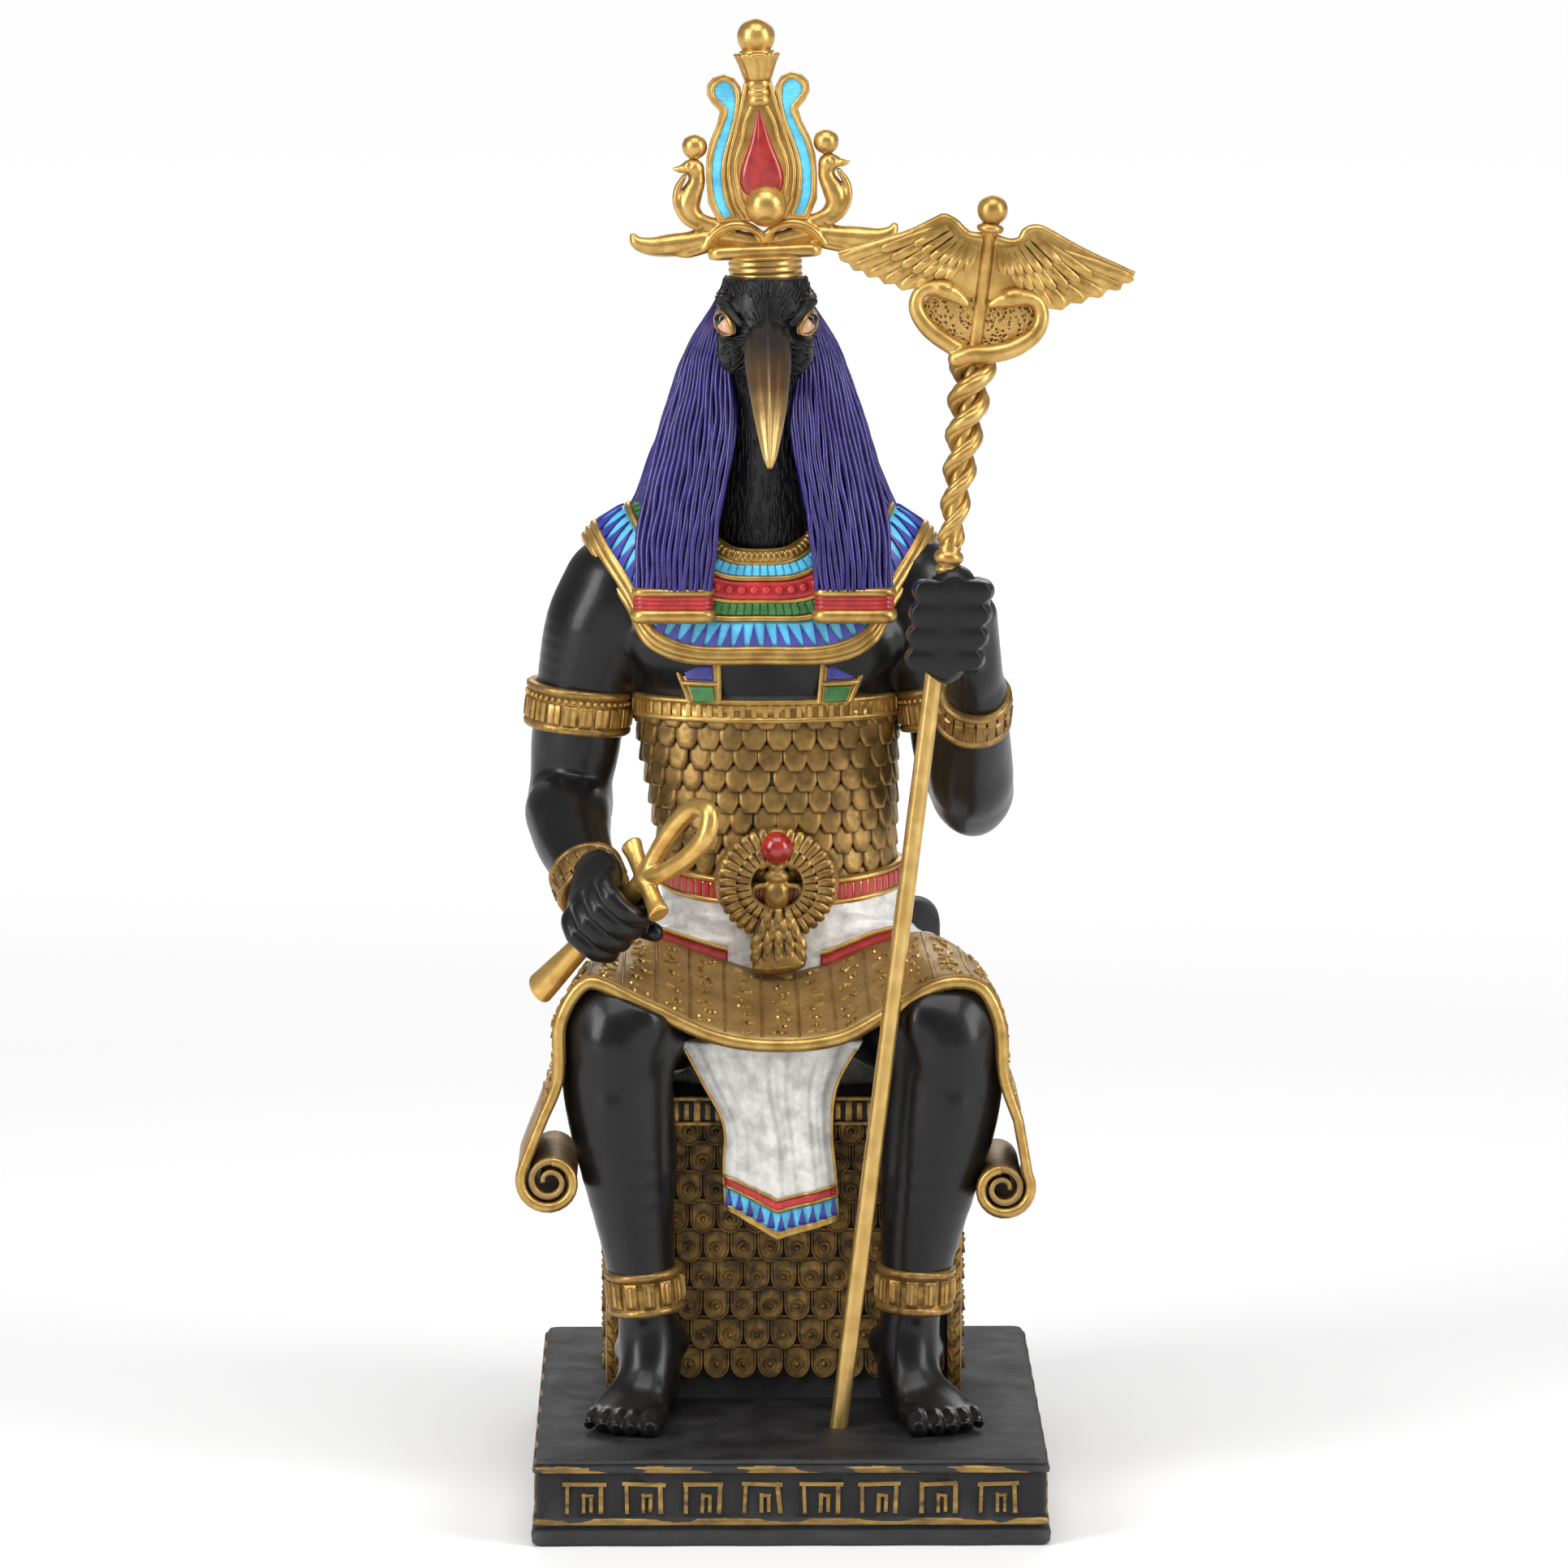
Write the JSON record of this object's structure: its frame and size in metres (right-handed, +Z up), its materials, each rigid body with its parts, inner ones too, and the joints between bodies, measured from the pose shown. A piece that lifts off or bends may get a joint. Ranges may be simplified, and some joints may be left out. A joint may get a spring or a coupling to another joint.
{
  "type": "seated ibis-headed deity statuette on a plinth",
  "caption": "Cast figure of a seated ibis-headed god on a throne and stepped plinth, with crown, ankh and winged serpent staff.",
  "frame": {"origin": "centre of the plinth's flat underside", "axes": "+Z up, the figure faces -Y, +X towards the hand that holds the staff"},
  "size_m": [0.1198, 0.12, 0.2907],
  "materials": {
    "painted_body": "glossy black painted cast resin with antique gold, violet-blue, white and enamel-coloured details",
    "crown_gold": "antique gold paint with light blue and red enamel panels",
    "ankh_gold": "antique gold paint over cast resin",
    "rod_gold": "smooth gold-lacquered metal rod",
    "staff_gold": "antique gold paint over cast resin"
  },
  "bodies": {
    "root": {"statue": "painted_body", "crown": "crown_gold", "ankh": "ankh_gold", "staff_rod": "rod_gold", "staff_head": "staff_gold"}
  },
  "joints": []
}
